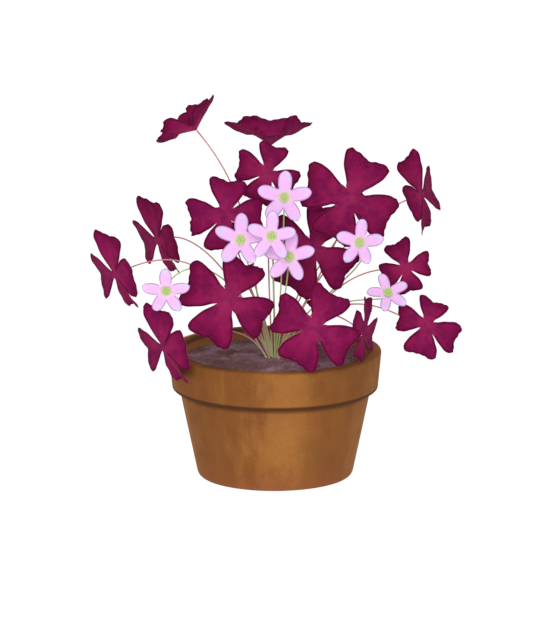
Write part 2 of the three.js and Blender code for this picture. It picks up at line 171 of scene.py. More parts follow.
STAMEN_HEIGHT = (1.3, 1.8)
THREAD_RADIUS = 0.13
ANTHER_RADIUS = 0.3

# Stalks: they taper by a share of their radius, and a leaf's has a knuckle under the hub.
LEAF_STALK_RADIUS = 0.55
FLOWER_STALK_RADIUS = 0.52
HUB_CLEARANCE = 0.5
STALK_TAPER = 0.3
LEAF_STALK_FOOT = 1.12
FLOWER_STALK_FOOT = 1.15
KNUCKLE = 0.35
KNUCKLE_LENGTH = 0.025
STALK_STATIONS = 48
STALK_SIDES = 12
ROOT_DEPTH = 4.0

# The rings in which stalks leave the soil: the radius, and how far a stalk leans outwards.
RINGS = {"heart": (0.0, 0.3), "inner": (2.6, 0.25), "middle": (4.6, 0.4), "outer": (6.8, 0.55)}

# A leaf or bloom: its hub, the compass turn and height angle that its face looks at, its size, the
# turn of each leaflet or petal, and the ring and angle of its root. cups, twists, lengths and skews
# give each leaflet's own rise, turn about its midrib, share of the size and lopsidedness. web is the
# share of the way out to which leaflets at right angles are joined.
LEAVES = [
    dict(hub=(-56, 34, 243.5), face=(-90, 50), size=27, turns=(68, 134, 213, 290),
         cups=(34, 38, 30, 40), twists=(-20, 20, 8, 40), lengths=(0.95, 0.8, 0.97, 1),
         web=0.3, root=("middle", 146), rise=0.3, back=0.45),
    dict(hub=(-3, 50.5, 228.8), face=(0, 89), size=33, turns=(90, 191, 268, 344),
         cups=(25, 39, 34, 41), twists=(0, 34, 0, -26), lengths=(1, 1, 0.74, 0.97),
         web=0.5, root=("inner", 90)),
    dict(hub=(-5, 12, 217.5), face=(0, 25), size=22.5, cup=-5, turns=(77, 163, 247, 332),
         lengths=(0.96, 1.04, 1, 1), root=("inner", 132)),
    dict(hub=(-35, -8, 191.5), face=(0, 25), size=27, cup=-5, turns=(86, 183, 264, 358),
         root=("inner", 190)),
    dict(hub=(53.5, 0, 202), face=(0, 30), size=33.5, cup=-5, turns=(66, 160, 245, 329),
         lengths=(1.03, 1.05, 1, 1), root=("middle", 12), back=0.52),
    dict(hub=(104.5, 38, 195.5), face=(64, 20), size=29, turns=(94, 186, 278, 0),
         cups=(-4, 5, -16, -9), twists=(-9, 3, -7, 2), lengths=(1.03, 0.97, 0.93, 1.14),
         skews=(-0.08, 0, 0, 0), web=0.07, root=("middle", 36)),
    dict(hub=(-114, 4, 145), face=(-64, -20), size=30, turns=(90, 194, 283, 6),
         cups=(-8, 2, -6, -4), twists=(11, 7, 4, -9), lengths=(1.04, 1.13, 0.9, 0.96),
         web=0.07, root=("outer", 180), rise=0.5, back=0.55),
    dict(hub=(-84, 48, 159.6), face=(-64, -20), size=30, turns=(90, 194, 283, 6),
         cups=(-8, 2, -6, -4), twists=(11, 7, 4, -9), lengths=(1.04, 1.13, 0.9, 0.96),
         web=0.07, root=("middle", 168), rise=0.42, back=0.28),
    dict(hub=(-32.5, -48, 139), face=(0, 30), size=33, cup=-5, turns=(67, 155, 241, 329),
         lengths=(0.98, 1.06, 1.02, 0.94), root=("outer", 234)),
    dict(hub=(-79.5, -44, 103.5), face=(-60, -20), size=30, turns=(84, 196, 281, 4),
         cups=(-9, 2, -5, -6), twists=(14, 10, 6, -12), lengths=(1.01, 1.09, 0.97, 0.99),
         web=0.07, root=("outer", 206)),
    dict(hub=(27.5, 5, 164.3), face=(0, 30), size=32, cup=-5, turns=(68, 159, 240, 323),
         lengths=(1, 0.98, 1.1, 1), root=("inner", 0)),
    dict(hub=(28, -68, 124), face=(0, 33), size=31, cup=-5, turns=(64, 156, 242, 326),
         root=("outer", 292)),
    dict(hub=(63.5, -42, 115.5), face=(67, -4), size=22, cup=-2, turns=(80, 158, 248, 338),
         twists=(6, 0, 0, 0), lengths=(1.08, 1, 0.99, 1.12), root=("outer", 326), rise=0.9, back=0.18),
    dict(hub=(93, 10, 149), face=(10, 25), size=18.5, cup=-5, turns=(8, 107, 200, 279),
         lengths=(1, 1.1, 1, 1), root=("outer", 10), rise=0.86, back=0.28),
    dict(hub=(108, -20, 114.5), face=(12, 38), size=23.5, cup=-8, turns=(66, 158, 249, 328),
         lengths=(0.95, 0.95, 1.04, 1.05), root=("outer", 348), rise=0.85, back=0.24),
    dict(hub=(54, 64, 181), face=(165, 45), size=26, cup=-5, turns=(45, 135, 225, 315),
         root=("middle", 62)),
    dict(hub=(-37.5, 62, 172.5), face=(195, 45), size=24, cup=-5, turns=(72, 162, 252, 342),
         root=("middle", 122)),
    dict(hub=(-23, 66, 129), face=(205, 35), size=14, cup=-5, turns=(82, 172, 262, 352),
         root=("outer", 114)),
    dict(hub=(35, 66, 110.5), face=(160, 40), size=13, cup=-5, turns=(62, 152, 242, 332),
         root=("outer", 66)),
]
LEAF_RISE = 0.45
LEAF_BACK = 0.28

FLOWERS = [
    dict(hub=(6.5, -22, 207), face=(0, 20), size=19.6, turns=(12, 87, 163, 230, 300),
         root=("heart", 0)),
    dict(hub=(-24.5, -38, 180), face=(0, 20), size=19.6, turns=(13, 87, 157, 231, 300),
         root=("inner", 232)),
    dict(hub=(-2.5, -52, 186), face=(0, 8), size=18, turns=(12, 87, 158, 231, 302),
         root=("inner", 268)),
    dict(hub=(10, -38, 167.5), face=(0, 25), size=19, turns=(16, 82, 168, 229, 296),
         root=("middle", 286)),
    dict(hub=(60, -32, 176.5), face=(-12, 25), size=17.5, turns=(11, 87, 165, 238, 298),
         root=("inner", 315), rise=0.34, back=0.7),
    dict(hub=(-77, -59, 148), face=(-5, -10), size=17.5, turns=(15, 91, 169, 240, 303),
         root=("middle", 214), rise=0.95, back=0.3),
    dict(hub=(80, -28, 139), face=(10, 38), size=15.5, turns=(22, 104, 177, 252, 317),
         root=("middle", 338), rise=0.65),
]
FLOWER_RISE = 0.4
FLOWER_BACK = 0.16

# Lamps: name, place and size in metres, and power in watts. They look at the middle of the plant.
LAMPS = [("front lamp", (-0.15, -1.8, 0.8), 0.8, 19), ("top lamp", (0.3, 0.2, 1.8), 1.2, 10)]
LAMP_AIM = (0, 0, 0.12)
SKY_STRENGTH = 0.33
FLOOR_REACH = 12.0


def linear(code):
    """An sRGB hex colour as linear red, green, blue and alpha."""
    srgb = np.array([int(code[i:i + 2], 16) for i in (1, 3, 5)]) / 255
    light = np.where(srgb <= 0.04045, srgb / 12.92, ((srgb + 0.055) / 1.055) ** 2.4)
    return (*light.tolist(), 1.0)


def add(tree, kind, inputs=(), output=0, stops=(), **settings):
    """Adds one node with its settings, and returns one of its outputs. inputs gives its inputs, in
    order or by name or number, each as a number, a hex colour or another node's output. stops gives
    a colour ramp its places and hex colours."""
    node = tree.nodes.new("ShaderNode" + kind)
    for name, value in settings.items():
        setattr(node, name, value)
    if stops:
        elements = node.color_ramp.elements
        for place, _ in stops[1:-1]:
            elements.new(place)
        for element, (place, code) in zip(elements, stops):
            element.position, element.color = place, linear(code)
    for name, value in inputs.items() if isinstance(inputs, dict) else enumerate(inputs):
        if isinstance(value, bpy.types.NodeSocket):
            tree.links.new(value, node.inputs[name])
        else:
            node.inputs[name].default_value = linear(value) if isinstance(value, str) else value
    return node.outputs[output]


def new_material(name, finish):
    """A material with one Principled shader, whose own sockets take the finish. Returns the material,
    its node tree and the shader."""
    material = bpy.data.materials.new(name)
    material.use_nodes = True
    shader = material.node_tree.nodes["Principled BSDF"]
    for socket, value in finish.items():
        shader.inputs[socket].default_value = value
    return material, material.node_tree, shader


def own_map(tree):
    """The piece's own map: the share of the way along, and across from 0 to 1."""
    outputs = add(tree, "SeparateXYZ", (add(tree, "UVMap"),)).node.outputs
    return outputs[0], outputs[1]


def dress(tree, shader, ground, coats, height, depth, strength):
    """Gives the shader its colour and its relief. The colour is a ground with coats laid over it. A
    coat is its colour, its share, and spans over which it fades: (value, where the coat is whole,
    where it is gone). The relief is depth mm deep where height goes from 0 to 1."""
    for colour, share, *spans in coats:
        for value, whole, gone in spans:
            share = add(tree, "MapRange", (value, whole, gone, share, 0.0))
        ground = add(tree, "Mix", {0: share, 6: ground, 7: colour}, 2, data_type="RGBA")
    tree.links.new(ground, shader.inputs["Base Color"])
    relief = add(tree, "Bump", {"Height": height, "Distance": depth * MM, "Strength": strength})
    tree.links.new(relief, shader.inputs["Normal"])


def leaf_blade_material():
    """Living leaf blade, thin, with a dull waxy skin: deep reddish purple in cloudy patches, lighter
    down the middle of each leaflet and on the underside, with faint slanting veins, and nearly black
    in a thin line along the edge, with a painted glint of brighter magenta at its very margin."""
    material, tree, shader = new_material(
        "living purple leaf blade", {"Roughness": 0.6, "IOR": 1.4, "Specular IOR Level": 0.01})
    place = add(tree, "TexCoord", output="Object")
    along, across = own_map(tree)
    under, tone, rim = (add(tree, "Attribute", output="Fac", attribute_name=name)
                        for name in ("under", "tone", "rim"))

    # Dark patches, lighter spots, and the skin's grain, which is drawn coarser than it is to show.
    patches, glow, grain = (
        add(tree, "TexNoise", {
            "Vector": place, "Scale": 1 / (size * MM), "Detail": detail, "Roughness": rough})
        for size, detail, rough in ((11, 5.0, 0.66), (7, 4.0, 0.62), (1.2, 2.0, 0.55)))

    # out goes from 0 at the midrib to 1 at the side edges.
    out = add(tree, "Math", (across, 2.0, -1.0), operation="MULTIPLY_ADD")
    out = add(tree, "Math", (out,), operation="ABSOLUTE")

    # Side veins leave the midrib at a slant and curve towards the far edge, some 3 mm apart.
    slant = add(tree, "Math", (out, 1.3), operation="POWER")
    slant = add(tree, "Math", (slant, -0.5, along), operation="MULTIPLY_ADD")
    vein = add(tree, "Math", (slant, LEAF_VEIN_STEP / 2), operation="PINGPONG")
    vein = add(tree, "MapRange", (vein, 0.0, 0.12 * LEAF_VEIN_STEP, 1.0, 0.0))
    vein = add(tree, "MapRange", (out, 0.1, 0.95, vein, 0.0))
    midrib = add(tree, "MapRange", (under, 0.0, 1.0, 0.08, 0.38))
    crest = add(tree, "MapRange", (under, 0.0, 1.0, 0.04, 0.44))
    ground = add(tree, "ValToRGB", (along,), stops=[
        (0.0, "#9B2A5A"), (0.35, "#901F50"), (0.7, "#831748"), (1.0, "#640D33")])
    coats = [
        ("#5F0E40", 0.62, (patches, 0.6, 0.44)),
        ("#A2205A", 0.3, (glow, 0.64, 0.5)),
        ("#86125A", 0.4, (tone, 1.0, 0.0)),
        ("#A8406F", 0.13, (vein, 1.0, 0.0)),
        ("#B04272", midrib, (out, 0.0, 0.3), (along, 0.1, 0.9)),
        ("#B4567E", crest, (out, 0.0, 0.06), (along, 0.0, 0.85)),
        ("#440624", 0.85, (rim, 0.3, 1.9)),
        # Painted glint: brighter magenta at the very margin.
        ("#A82464", 0.75, (rim, 0.06, 0.24)),
    ]
    height = add(tree, "Math", (vein, -0.9, grain), operation="MULTIPLY_ADD")
    dress(tree, shader, ground, coats, height, 0.12, 0.5)
    return material


def petal_material():
    """Living petal, thin and silky: pale orchid pink with lilac mottling and faint lengthwise veins,
    bluish white at the tip, mauve at the very edge, and yellowish green rays where it meets the eye."""
    material, tree, shader = new_material(
        "living pink petal", {"Roughness": 0.65, "IOR": 1.4, "Specular IOR Level": 0.2})
    place = add(tree, "TexCoord", output="Object")
    along, across = own_map(tree)
    rim = add(tree, "Attribute", output="Fac", attribute_name="rim")

    # Lilac mottling, pinker spots, and a silky grain, which is drawn coarser than it is to show.
    mottle, light, grain = (
        add(tree, "TexNoise", {
            "Vector": place, "Scale": 1 / (size * MM), "Detail": detail, "Roughness": rough})
        for size, detail, rough in ((3.6, 3.0, 0.6), (2.4, 2.0, 0.55), (1.2, 2.0, 0.55)))

    # Fine veins run the length of the petal, and fade towards its tip.
    vein = add(tree, "Math", (across, PETAL_VEIN_STEP / 2), operation="PINGPONG")
    vein = add(tree, "MapRange", (vein, 0.0, 0.14 * PETAL_VEIN_STEP, 1.0, 0.0))
    vein = add(tree, "MapRange", (along, 0.3, 0.95, vein, 0.0))

    # The petal is more lilac towards its tip.
    lilac = add(tree, "MapRange", (along, 0.2, 0.9, 0.3, 0.9))

    # The green rays reach between 0.07 and 0.18 of the way along.
    ray = add(tree, "Math", (across, PETAL_RAY_STEP / 2), operation="PINGPONG")
    ray = add(tree, "Math", (ray, 0.22 / PETAL_RAY_STEP, 0.07), operation="MULTIPLY_ADD")
    ray = add(tree, "Math", (ray, along), operation="SUBTRACT")
    ground = add(tree, "ValToRGB", (along,), stops=[
        (0.0, "#EFCFE8"), (0.3, "#F6BDF2"), (0.62, "#F7BBF5"), (0.84, "#EFC6F5"), (1.0, "#DFD2F3")])
    coats = [
        ("#D0CAF0", lilac, (mottle, 0.58, 0.46)),
        ("#F4AEEC", 0.45, (light, 0.62, 0.5)),
        ("#DB96DF", 0.22, (vein, 1.0, 0.0)),
        ("#E9EDB0", 0.8, (ray, 0.04, -0.01)),
        ("#A37FB6", 0.85, (rim, 0.25, 1.2)),
    ]
    height = add(tree, "Math", (grain, vein), operation="SUBTRACT")
    dress(tree, shader, ground, coats, height, 0.08, 0.5)
    return material


def stalk_material(name, stops, spot):
    """Living stalk, smooth and juicy: its colour changes along its length, with fine streaks that
    follow it and a soft waxy light."""
    material, tree, shader = new_material(
        name, {"Roughness": 0.5, "IOR": 1.4, "Specular IOR Level": 0.15})
    place = add(tree, "TexCoord", output="Object")
    drawn = add(tree, "Mapping", {"Vector": place, "Scale": (1.0, 1.0, 0.12)})
    streaks = add(tree, "TexNoise", {
        "Vector": drawn, "Scale": 1 / (1.6 * MM), "Detail": 3.0, "Roughness": 0.6})
    ground = add(tree, "ValToRGB", (own_map(tree)[0],), stops=stops)
    dress(tree, shader, ground, [(spot, 0.5, (streaks, 1.0, 0.0))], streaks, 0.05, 0.5)
    return material


def eye_material():
    """Living green eye of the bloom: fresh green in the middle, yellowish at its rim, with fine rays
    and pale raised dots."""
    material, tree, shader = new_material(
        "living green eye", {"Roughness": 0.6, "IOR": 1.4, "Specular IOR Level": 0.25})
    place = add(tree, "TexCoord", output="Object")
    along, around = own_map(tree)
    ray = add(tree, "Math", (around, 1 / EYE_FLUTES / 2), operation="PINGPONG")
    ray = add(tree, "MapRange", (ray, 0.1 / EYE_FLUTES, 0.4 / EYE_FLUTES, 1.0, 0.0))
    ray = add(tree, "MapRange", (along, 0.25, 0.6, 0.0, ray))
    dots = add(tree, "TexNoise", {
        "Vector": place, "Scale": 1 / (0.8 * MM), "Detail": 1.0, "Roughness": 0.55})
    dots = add(tree, "MapRange", (dots, 0.56, 0.63))
    ground = add(tree, "ValToRGB", (along,), stops=[
        (0.0, "#86B048"), (0.16, "#A9CC6A"), (0.3, "#7FA843"), (0.5, "#93BE50"), (0.78, "#A4CA64"),
        (1.0, "#C4DB90")])
    coats = [("#E6F1B4", 0.55, (ray, 1.0, 0.0)), ("#EAF3C0", 0.65, (dots, 1.0, 0.0))]
    height = add(tree, "Math", (ray, dots), operation="ADD")
    dress(tree, shader, ground, coats, height, 0.15, 0.6)
    return material


def anther_material():
    """Pollen on the anthers: pale greenish yellow and dusty. Its grains are drawn far coarser than they
    are, so that they show."""
    material, tree, shader = new_material("pale yellow pollen", {"Roughness": 0.9})
    place = add(tree, "TexCoord", output="Object")
    grain = add(tree, "TexNoise", {
        "Vector": place, "Scale": 1 / (0.3 * MM), "Detail": 2.0, "Roughness": 0.55})
    ground = add(tree, "ValToRGB", (grain,), stops=[(0.3, "#C9D77E"), (0.7, "#EDF1BC")])
    dress(tree, shader, ground, [], grain, 0.05, 0.8)
    return material


def terracotta_material():
    """Terracotta, wheel thrown and fired without glaze: matte orange brown with cloudy tone, sandy
    grain and faint turning rings. It also holds painted light and shade: upright bands of painted
    shade that darken it towards the sides seen from the front, painted light that makes it paler
    inside the mouth, and painted shade at the inner edge of the rim and under the collar."""
    material, tree, shader = new_material(
        "unglazed terracotta", {"Roughness": 0.88, "IOR": 1.5, "Specular IOR Level": 0.2})
    place = add(tree, "TexCoord", output="Object")
    drawn = add(tree, "Mapping", {"Vector": place, "Scale": (1.0, 1.0, 0.25)})

    # The kiln's cloudy tone, washes drawn down by water, grit in the clay and sand on its skin. Grit
    # and sand are drawn as coarse as they need to show.
    cloud, wash, grit, sand = (
        add(tree, "TexNoise", {
            "Vector": where, "Scale": 1 / (size * MM), "Detail": detail, "Roughness": rough})
        for where, size, detail, rough in (
            (place, 26, 5.0, 0.62), (drawn, 20, 4.0, 0.6),
            (place, 1.1, 3.0, 0.7), (place, 0.8, 3.0, 0.7)))
    ground = add(tree, "ValToRGB", (cloud,), stops=[
        (0.36, "#824C20"), (0.5, "#945B27"), (0.64, "#9F652F")])
    washes = add(tree, "ValToRGB", (wash,), stops=[(0.42, "#74411B"), (0.56, "#A56F35")])
    grains = add(tree, "ValToRGB", (grit,), stops=[
        (0.36, "#784822"), (0.52, "#A06A38"), (0.7, "#B4804C")])

    # Heights above the foot and distances from the middle, in mm.
    x, y, z = add(tree, "SeparateXYZ", (place,)).node.outputs
    height = add(tree, "Math", (z, 1 / MM), operation="MULTIPLY")
    flat = add(tree, "Mapping", {"Vector": place, "Scale": (1 / MM, 1 / MM, 0.0)})
    radius = add(tree, "VectorMath", (flat,), "Value", operation="LENGTH")

    # Painted shade: broad upright bands of darker clay, four to the turn, with uneven sides. They are
    # darkest 45 degrees off the front and back, so that from the front the pot darkens at its sides.
    turn = add(tree, "Math", (y, x), operation="ARCTAN2")
    uneven = add(tree, "Math", (wash, 3.0, -1.5), operation="MULTIPLY_ADD")
    painted_side_shade = add(tree, "Math", (turn, 4.0, uneven), operation="MULTIPLY_ADD")
    painted_side_shade = add(tree, "Math", (painted_side_shade,), operation="COSINE")

    # The foot is redder. Painted shade darkens the corner below the collar, and painted light
    # makes the inside of the mouth paler. Painted shade darkens the inner edge of the rim.
    below = POT_HEIGHT - COLLAR_HEIGHT - SHOULDER_DROP
    coats = [
        (washes, 0.4),
        (grains, 0.18),
        # Painted shade towards the pot's sides, seen from the front.
        ("#73421A", 0.6, (painted_side_shade, -0.8, 0.5)),
        ("#925030", 0.5, (height, 0.0, 20.0)),
        # Painted shade in the corner below the collar.
        ("#472612", 0.95, (height, below, below - 4.0), (height, below + 2.2, below + 3.6)),
        # Painted light on the inner wall of the mouth, above the soil.
        ("#BC8450", 0.7, (height, SOIL_LEVEL - 6.5, SOIL_LEVEL - 14.5),
         (radius, MOUTH_RADIUS + 0.2, MOUTH_RADIUS + 1.2)),
        # Painted shade along the inner edge of the rim.
        ("#4A2A16", 0.75, (height, POT_HEIGHT - 1.3, POT_HEIGHT - 3.1),
         (radius, MOUTH_RADIUS + 0.8, MOUTH_RADIUS + 4.0)),
    ]

    # Turning rings 1.3 mm apart, and sand.
    rings = add(tree, "Math", (height, 1 / 1.3), operation="MULTIPLY")
    rings = add(tree, "TexNoise", {"W": rings, "Scale": 1.0, "Detail": 2.0}, noise_dimensions="1D")
    relief = add(tree, "Math", (rings, 0.5, sand), operation="MULTIPLY_ADD")
    dress(tree, shader, ground, coats, relief, 0.22, 0.5)
    return material


def soil_material():
    """Damp potting soil: crumbs of peat and bark, greyish brown with a purplish cast, and matte. Its
    colours are paler than the soil's own, as painted light against the shade that the leaves and
    the pot's wall cast on it.
    """
    material, tree, shader = new_material(
        "damp potting soil", {"Roughness": 0.95, "Specular IOR Level": 0.15})
    place = add(tree, "TexCoord", output="Object")

    # Damp and dry places, crumbs, and the grain of the peat.
    cloud, crumb, grain = (
        add(tree, "TexNoise", {
            "Vector": place, "Scale": 1 / (size * MM), "Detail": detail, "Roughness": rough})
        for size, detail, rough in ((19, 3.0, 0.55), (2.2, 3.0, 0.7), (1.4, 4.0, 0.75)))
    # Painted light: these colours are paler than the soil's own, against the shade that falls on it.
    ground = add(tree, "ValToRGB", (cloud,), stops=[
        (0.4, "#745252"), (0.5, "#886668"), (0.6, "#A48492")])
    crumbs = add(tree, "ValToRGB", (crumb,), stops=[
        (0.35, "#6A4C4A"), (0.52, "#8F6D6D"), (0.68, "#B0949B")])
    dress(tree, shader, ground, [(crumbs, 0.2)], grain, 0.6, 0.7)
    return material


def quads(numbers):
    """The quads of a grid of corner numbers, each from a corner on to the next row and column."""
    low, high = numbers[:-1], numbers[1:]
    return np.stack([low[:, :-1], high[:, :-1], high[:, 1:], low[:, 1:]], -1).reshape(-1, 4)


def ring_quads(rows, columns):
    """The quads of a grid whose last column joins the first, facing out where rows go up and columns
    go anticlockwise."""
    numbers = np.arange(rows * columns).reshape(rows, columns)
    return quads(np.concatenate([numbers, numbers[:, :1]], 1))[:, ::-1]


def closed_ends(rows, columns):
    """Two caps that close the first and last ring of such a grid."""
    return [np.arange(columns)[None, ::-1], np.arange(columns)[None, :] + (rows - 1) * columns]


def closed_rings(rows, columns):
    """Faces of a closed body of rings."""
    return [ring_quads(rows, columns), *closed_ends(rows, columns)]


def sheet_faces(rows, columns):
    """Faces of a thin closed sheet: each row goes over the top face and back under the bottom one,
    so a row has twice the columns. The first and last rows are capped between the two faces."""
    total = 2 * columns
    j = np.arange(columns - 1)
    cap = np.stack([j, j + 1, total - 2 - j, total - 1 - j], -1)
    return [ring_quads(rows, total)[:, ::-1], cap, cap[:, ::-1] + (rows - 1) * total]


class Shell:
    """Gathers surfaces into one mesh, with each point's place on its own surface (along, across) and
    its fields, which the materials read as attributes."""

    def __init__(self):
        """Starts empty."""
        self.points, self.maps, self.faces, self.fields = [], [], [], []
        self.count = 0

    def add(self, points, along, across, faces, **fields):
        """Adds a surface: its grid of points, their places on it, its faces and its fields."""
        shape = points.shape[:-1]
        self.points.append(points.reshape(-1, 3))
        self.maps.append(np.stack([np.broadcast_to(v, shape).ravel() for v in (along, across)], -1))
        self.fields.append({name: np.broadcast_to(v, shape).ravel() for name, v in fields.items()})
        self.faces += [face + self.count for face in faces]
        self.count += len(self.points[-1])

    def piece(self, name, materials, node, sharp=50.0):
        """Makes the mesh object, which replaces node and rides on the root body. Points that lie in
        the same place become one."""
        points = np.concatenate(self.points) * MM
        _, first, places = np.unique(
            np.round(points, 7), axis=0, return_index=True, return_inverse=True)
        places = places.ravel()
        faces = [row for block in self.faces for row in places[block].tolist()]
        corners = np.concatenate([block.ravel() for block in self.faces])
        mesh = bpy.data.meshes.new(name)
        mesh.from_pydata(points[first].tolist(), [], faces)
        mesh.polygons.foreach_set("use_smooth", np.ones(len(mesh.polygons), bool))
        layer = mesh.uv_layers.new(name="along_across")
        layer.uv.foreach_set("vector", np.concatenate(self.maps)[corners].ravel())
        for label in self.fields[0]:
            values = np.concatenate([block[label] for block in self.fields])
            attribute = mesh.attributes.new(label, "FLOAT", "POINT")
            attribute.data.foreach_set("value", values[first])
        for material in materials:
            mesh.materials.append(material)
        mesh.set_sharp_from_angle(angle=np.radians(sharp))
        thing = bpy.data.objects.new(name, mesh)
        bpy.context.scene.collection.objects.link(thing)
        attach(thing, "root")
        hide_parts(node)
        return thing


def turned_about_z(points, degrees):
    """Points turned about Z."""
    c, s = np.cos(np.radians(degrees)), np.sin(np.radians(degrees))
    x, y, z = points[..., 0], points[..., 1], points[..., 2]
    return np.stack([x * c - y * s, x * s + y * c, z], -1)


def facing(item):
    """The three axes of a leaf or bloom: its +X and +Y lie in its face and +Z is where it looks."""
    compass, height = np.radians(item["face"])
    right = np.array([np.cos(compass), np.sin(compass), 0.0])
    level = np.array([np.sin(compass), -np.cos(compass), 0.0])
    out = level * np.cos(height) + [0, 0, np.sin(height)]
    return np.stack([right, np.cross(out, right), out])


def placed(points, item):
    """Points of a leaf or bloom, from its own axes to the pot's."""
    return points @ facing(item) + np.array(item["hub"], float)


def lathe(outline, sides):
    """Points of a round body from (radius, height) pairs, with each ring a row."""
    outline = np.asarray(outline, float)
    angle = np.linspace(0, 2 * np.pi, sides, endpoint=False)[None, :]
    radius = outline[:, :1]
    return np.stack([radius * np.cos(angle), radius * np.sin(angle), outline[:, 1:] + 0 * angle], -1)


def ease(values, low, high):
    """0 below low and 1 above high, with a smooth rise between: 3t squared less 2t cubed."""
    t = np.clip((values - low) / (high - low), 0, 1)
    return t * t * (3 - 2 * t)


def leaflet_surfaces(leaf, rng):
    """The top and bottom faces of all the leaflets of a leaf, as one array: leaflet, face, row and
    column. Returns the points in the leaf's own axes, the rim, and where the side edges are joined.

    A leaflet's length goes with along, shortened by a notch at the midrib and by a rounding past each
    lobe. Its width swells with the sine of along. It is folded up from the midrib in proportion to the
    distance from it, arches back with along squared, and has slow waves near its edge. It is twisted
    about its midrib, raised by its cup, kept off the middle of the gap beside it and turned round the
    hub. Near the hub its side edges are drawn to halfway between them and the next leaflet's, so
    that the leaflets are joined in one web. The rim is the distance to the free edge in mm."""
    order = np.argsort(leaf["turns"])
    count = len(order)

    def each(name, usual):
        """A row of the leaf's table, in the order of the turns, one number to a leaflet."""
        return np.array(leaf.get(name, usual), float)[order][:, None, None, None]

    turn = np.array(leaf["turns"], float)[order]
    gap = (np.roll(turn, -1) - turn) % 360
    after, before = gap / 2, np.roll(gap, 1) / 2
    along = LEAFLET_ROWS[None, None, :, None]
    across = LEAFLET_COLUMNS[None, None, None, :]
    face = np.array([0.5, -0.5])[None, :, None, None]
    out = np.abs(across)
    size = leaf["size"] * each("lengths", (1,) * count)

    # The outline, with a ragged edge.
    notch = NOTCH_DEPTH * np.clip(1 - np.sqrt(across ** 2 + 0.002) / LOBE_PLACE, 0, None) ** 1.4
    corner = CORNER_ROUND * np.clip((out - LOBE_PLACE) / (1 - LOBE_PLACE), 0, None) ** 1.8
    skew = 1 + each("skews", LEAFLET_SKEWS[:count]) * across
    phase = rng.uniform(0, 2 * np.pi, (4, count, 1, 1, 1))
    ragged = np.sin(9 * across + phase[0]) + np.sin(17 * across + phase[1])
    x = size * along * (1 - notch - corner) * skew * (1 + EDGE_WOBBLE * along ** 3 * ragged)
    ragged = np.sin(11 * along + phase[2]) + np.sin(19 * along * np.sign(across) + phase[3])
    swell = np.sin(np.pi / 2 * along ** SIDE_CURVE)
    half = size * LEAFLET_HALF_WIDTH * swell * (1 + EDGE_WOBBLE * ragged)
    wide = across * half

    # The height: fold, arch, waves, thickness and rib.
    wave = SIDE_WAVE * along ** 2 * out ** 2 * np.sin(15 * along + 1.7 * across + phase[0])
    wave = size * (wave + EDGE_WAVE * along ** 3 * np.sin(7 * across + phase[1]))
    thin = np.clip(np.minimum(1 - along, 1 - out) / 0.06, 0, 1) ** 0.5
    thick = EDGE_THICKNESS + (BLADE_THICKNESS - EDGE_THICKNESS) * thin
    rib = np.exp(-(across / MIDRIB_WIDTH) ** 2) * MIDRIB_HEIGHT * (1.1 - along)
    rib = rib * np.where(face > 0, 0.35, 1)
    fold = np.tan(np.radians(FOLD)) * np.sqrt(wide ** 2 + 0.3)
    high = fold - ARCH * size * along ** 2 + wave + face * thick - rib

    twist = np.radians(each("twists", (0,) * count))
    lift = np.radians(each("cups", (leaf.get("cup", 0),) * count))
    y = wide * np.cos(twist) - high * np.sin(twist)
    z = wide * np.sin(twist) + high * np.cos(twist)
    x, z = x * np.cos(lift) - z * np.sin(lift), x * np.sin(lift) + z * np.cos(lift)
    beside = np.where(across < 0, before[:, None, None, None], after[:, None, None, None])
    room = np.clip(x * np.tan(np.radians(beside)) - BLADE_GAP / 2, 0, None)
    y = np.sign(y) * np.minimum(np.abs(y), room)
    points = turned_about_z(np.stack([x, y, z], -1), turn[:, None, None, None])

    # The web reaches further out where the next leaflet is close.
    web = (leaf.get("web", WEB) * np.clip(45 / after, 0.4, 1.2) ** 2)[:, None]
    joined = 1 - ease(LEAFLET_ROWS[None, :], web, web + WEB_FADE)
    pull = ease(out, 0.25, 1)[..., None]
    way = (np.roll(points, -1, axis=0)[..., :1, :] - points[..., -1:, :]) / 2
    way = way * joined[:, None, :, None, None]
    side = across[..., None]
    points = points + pull * (side > 0) * way - pull * (side < 0) * np.roll(way, 1, axis=0)

    joined_before = np.roll(joined, 1, axis=0)[:, None, :, None]
    joined_side = np.where(across > 0, joined[:, None, :, None], joined_before)
    rim = np.minimum(half * (1 - out) + WEB_RIM * joined_side, size * (1 - along))
    return points, np.broadcast_to(rim, points.shape[:-1]), joined >= 1


def leaflet_faces(count, joined):
    """Faces of the leaflets: both faces of each, its far edge, its side edges where they are free, and
    the two fans round the hub, whose points come last."""
    rows, columns = len(LEAFLET_ROWS), len(LEAFLET_COLUMNS)
    numbers = np.arange(count * 2 * rows * columns).reshape(count, 2, rows, columns)
    fan = np.full(columns - 1, numbers.size)
    faces = []
    for k in range(count):
        top, bottom = numbers[k]
        free_left = ~(joined[k, :-1] & joined[k, 1:])
        free_right = ~(joined[k - 1, :-1] & joined[k - 1, 1:])
        faces.append(quads(top))
        faces.append(quads(bottom)[:, ::-1])
        faces.append(quads(np.stack([top[-1], bottom[-1]])))
        faces.append(quads(np.stack([top[:, -1], bottom[:, -1]]))[free_left][:, ::-1])
        faces.append(quads(np.stack([top[:, 0], bottom[:, 0]]))[free_right])
        faces.append(np.stack([fan, top[0, :-1], top[0, 1:]], -1))
        faces.append(np.stack([fan + 1, bottom[0, 1:], bottom[0, :-1]], -1))
    return faces


